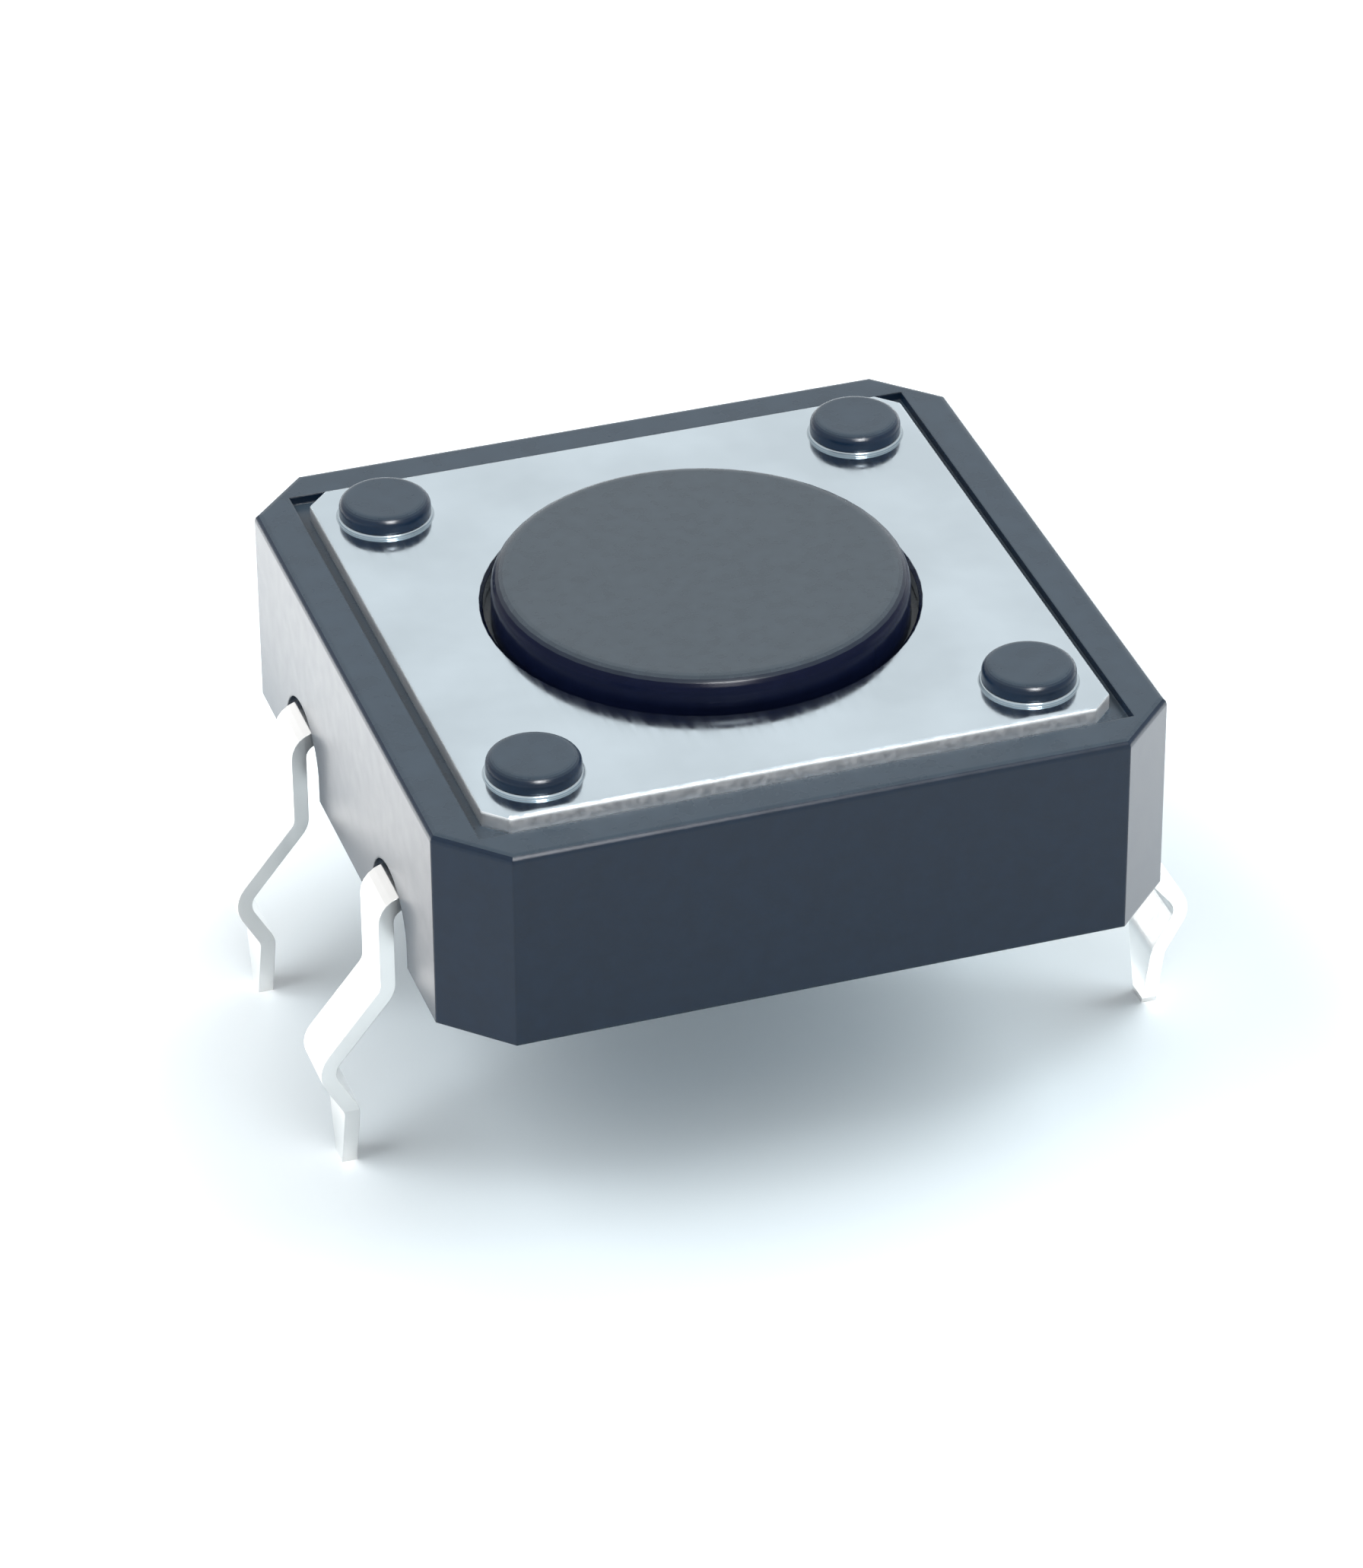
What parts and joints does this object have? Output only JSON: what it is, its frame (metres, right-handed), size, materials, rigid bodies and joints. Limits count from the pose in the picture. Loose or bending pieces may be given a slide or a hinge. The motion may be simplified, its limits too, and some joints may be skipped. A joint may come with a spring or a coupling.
{
  "type": "tactile push button switch",
  "caption": "Square through-hole tactile switch with a large round flat plunger, a steel cover plate staked at its corners, and kinked snap-in legs on two opposite sides.",
  "frame": {"origin": "centre of the four legs' pattern, on the board face that the housing's standoff pads rest on", "axes": "+Z along the button's axis away from the board, +X across the switch from leg to leg, -Y towards the plain side that faces the viewer"},
  "size_m": [0.0146, 0.012, 0.0081],
  "materials": {
    "housing_plastic": "black moulded thermoplastic, fine satin",
    "cover_steel": "satin cold-rolled sheet, blanked edges",
    "plunger_plastic": "black moulded thermoplastic, finely mottled satin",
    "dome_steel": "bright spring steel",
    "contact_metal": "bright silver-coloured plating"
  },
  "bodies": {
    "base": {"base_housing": "housing_plastic", "cover_plate": "cover_steel", "snap_dome": "dome_steel", "contact_strip_front": "contact_metal", "contact_strip_rear": "contact_metal"},
    "button": {"plunger": "plunger_plastic"}
  },
  "joints": [
    {"name": "button_press", "type": "slide", "parent": "base", "child": "button", "axis": [0, 0, -1], "range_m": [0, 0.0003], "stiffness_N_per_m": 5000, "springref_m": -0.00002, "deforming": ["snap_dome"]}
  ]
}
